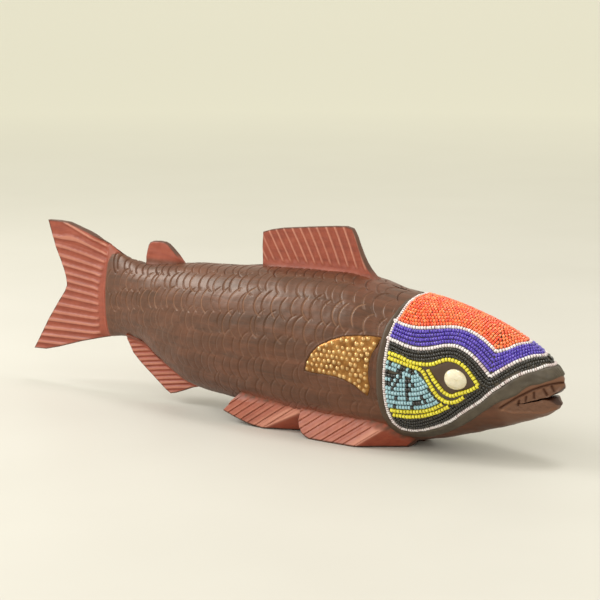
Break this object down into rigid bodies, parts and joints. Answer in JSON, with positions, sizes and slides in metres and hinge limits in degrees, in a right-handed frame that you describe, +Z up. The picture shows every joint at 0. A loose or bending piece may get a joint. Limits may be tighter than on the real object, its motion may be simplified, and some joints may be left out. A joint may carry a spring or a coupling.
{
  "type": "carved fish sculpture",
  "caption": "Carved wooden fish ornament with incised scales, painted red fins, embossed brass gill plates and a head covered in glass beads.",
  "frame": {"origin": "below the middle of the bounding box, on the surface the fish stands on", "axes": "+X towards the head, +Y towards the fish's left side, +Z up"},
  "size_m": [0.48, 0.0778, 0.1503],
  "materials": {
    "carved_wood": "stained dark brown, satin wax",
    "fin_paint": "brick-red paint on wood, satin",
    "putty": "grey-brown, matte",
    "brass_sheet": "embossed and aged",
    "eye_ivory": "polished ivory colour",
    "bead_white": "opaque, gloss",
    "bead_red": "opaque red and orange, gloss",
    "bead_blue": "opaque violet blue, gloss",
    "bead_black": "opaque, gloss",
    "bead_yellow": "opaque, gloss",
    "bead_light_blue": "opaque light blue with some black, gloss"
  },
  "bodies": {
    "root": {"body": "carved_wood", "tail_fin": "fin_paint", "dorsal_fin": "fin_paint", "adipose_fin": "fin_paint", "anal_fin": "fin_paint", "pectoral_fin_right": "fin_paint", "pectoral_fin_left": "fin_paint", "pelvic_fin_right": "fin_paint", "pelvic_fin_left": "fin_paint", "brass_plate_right": "brass_sheet", "brass_plate_left": "brass_sheet", "putty_bed": "putty", "eye_right": "eye_ivory", "eye_left": "eye_ivory", "border_beads": "bead_white", "crown_beads": "bead_red", "upper_white_beads": "bead_white", "blue_beads": "bead_blue", "lower_white_beads": "bead_white", "black_beads_right": "bead_black", "black_beads_left": "bead_black", "yellow_beads_right": "bead_yellow", "yellow_beads_left": "bead_yellow", "cheek_beads_right": "bead_light_blue", "cheek_beads_left": "bead_light_blue"}
  },
  "joints": []
}
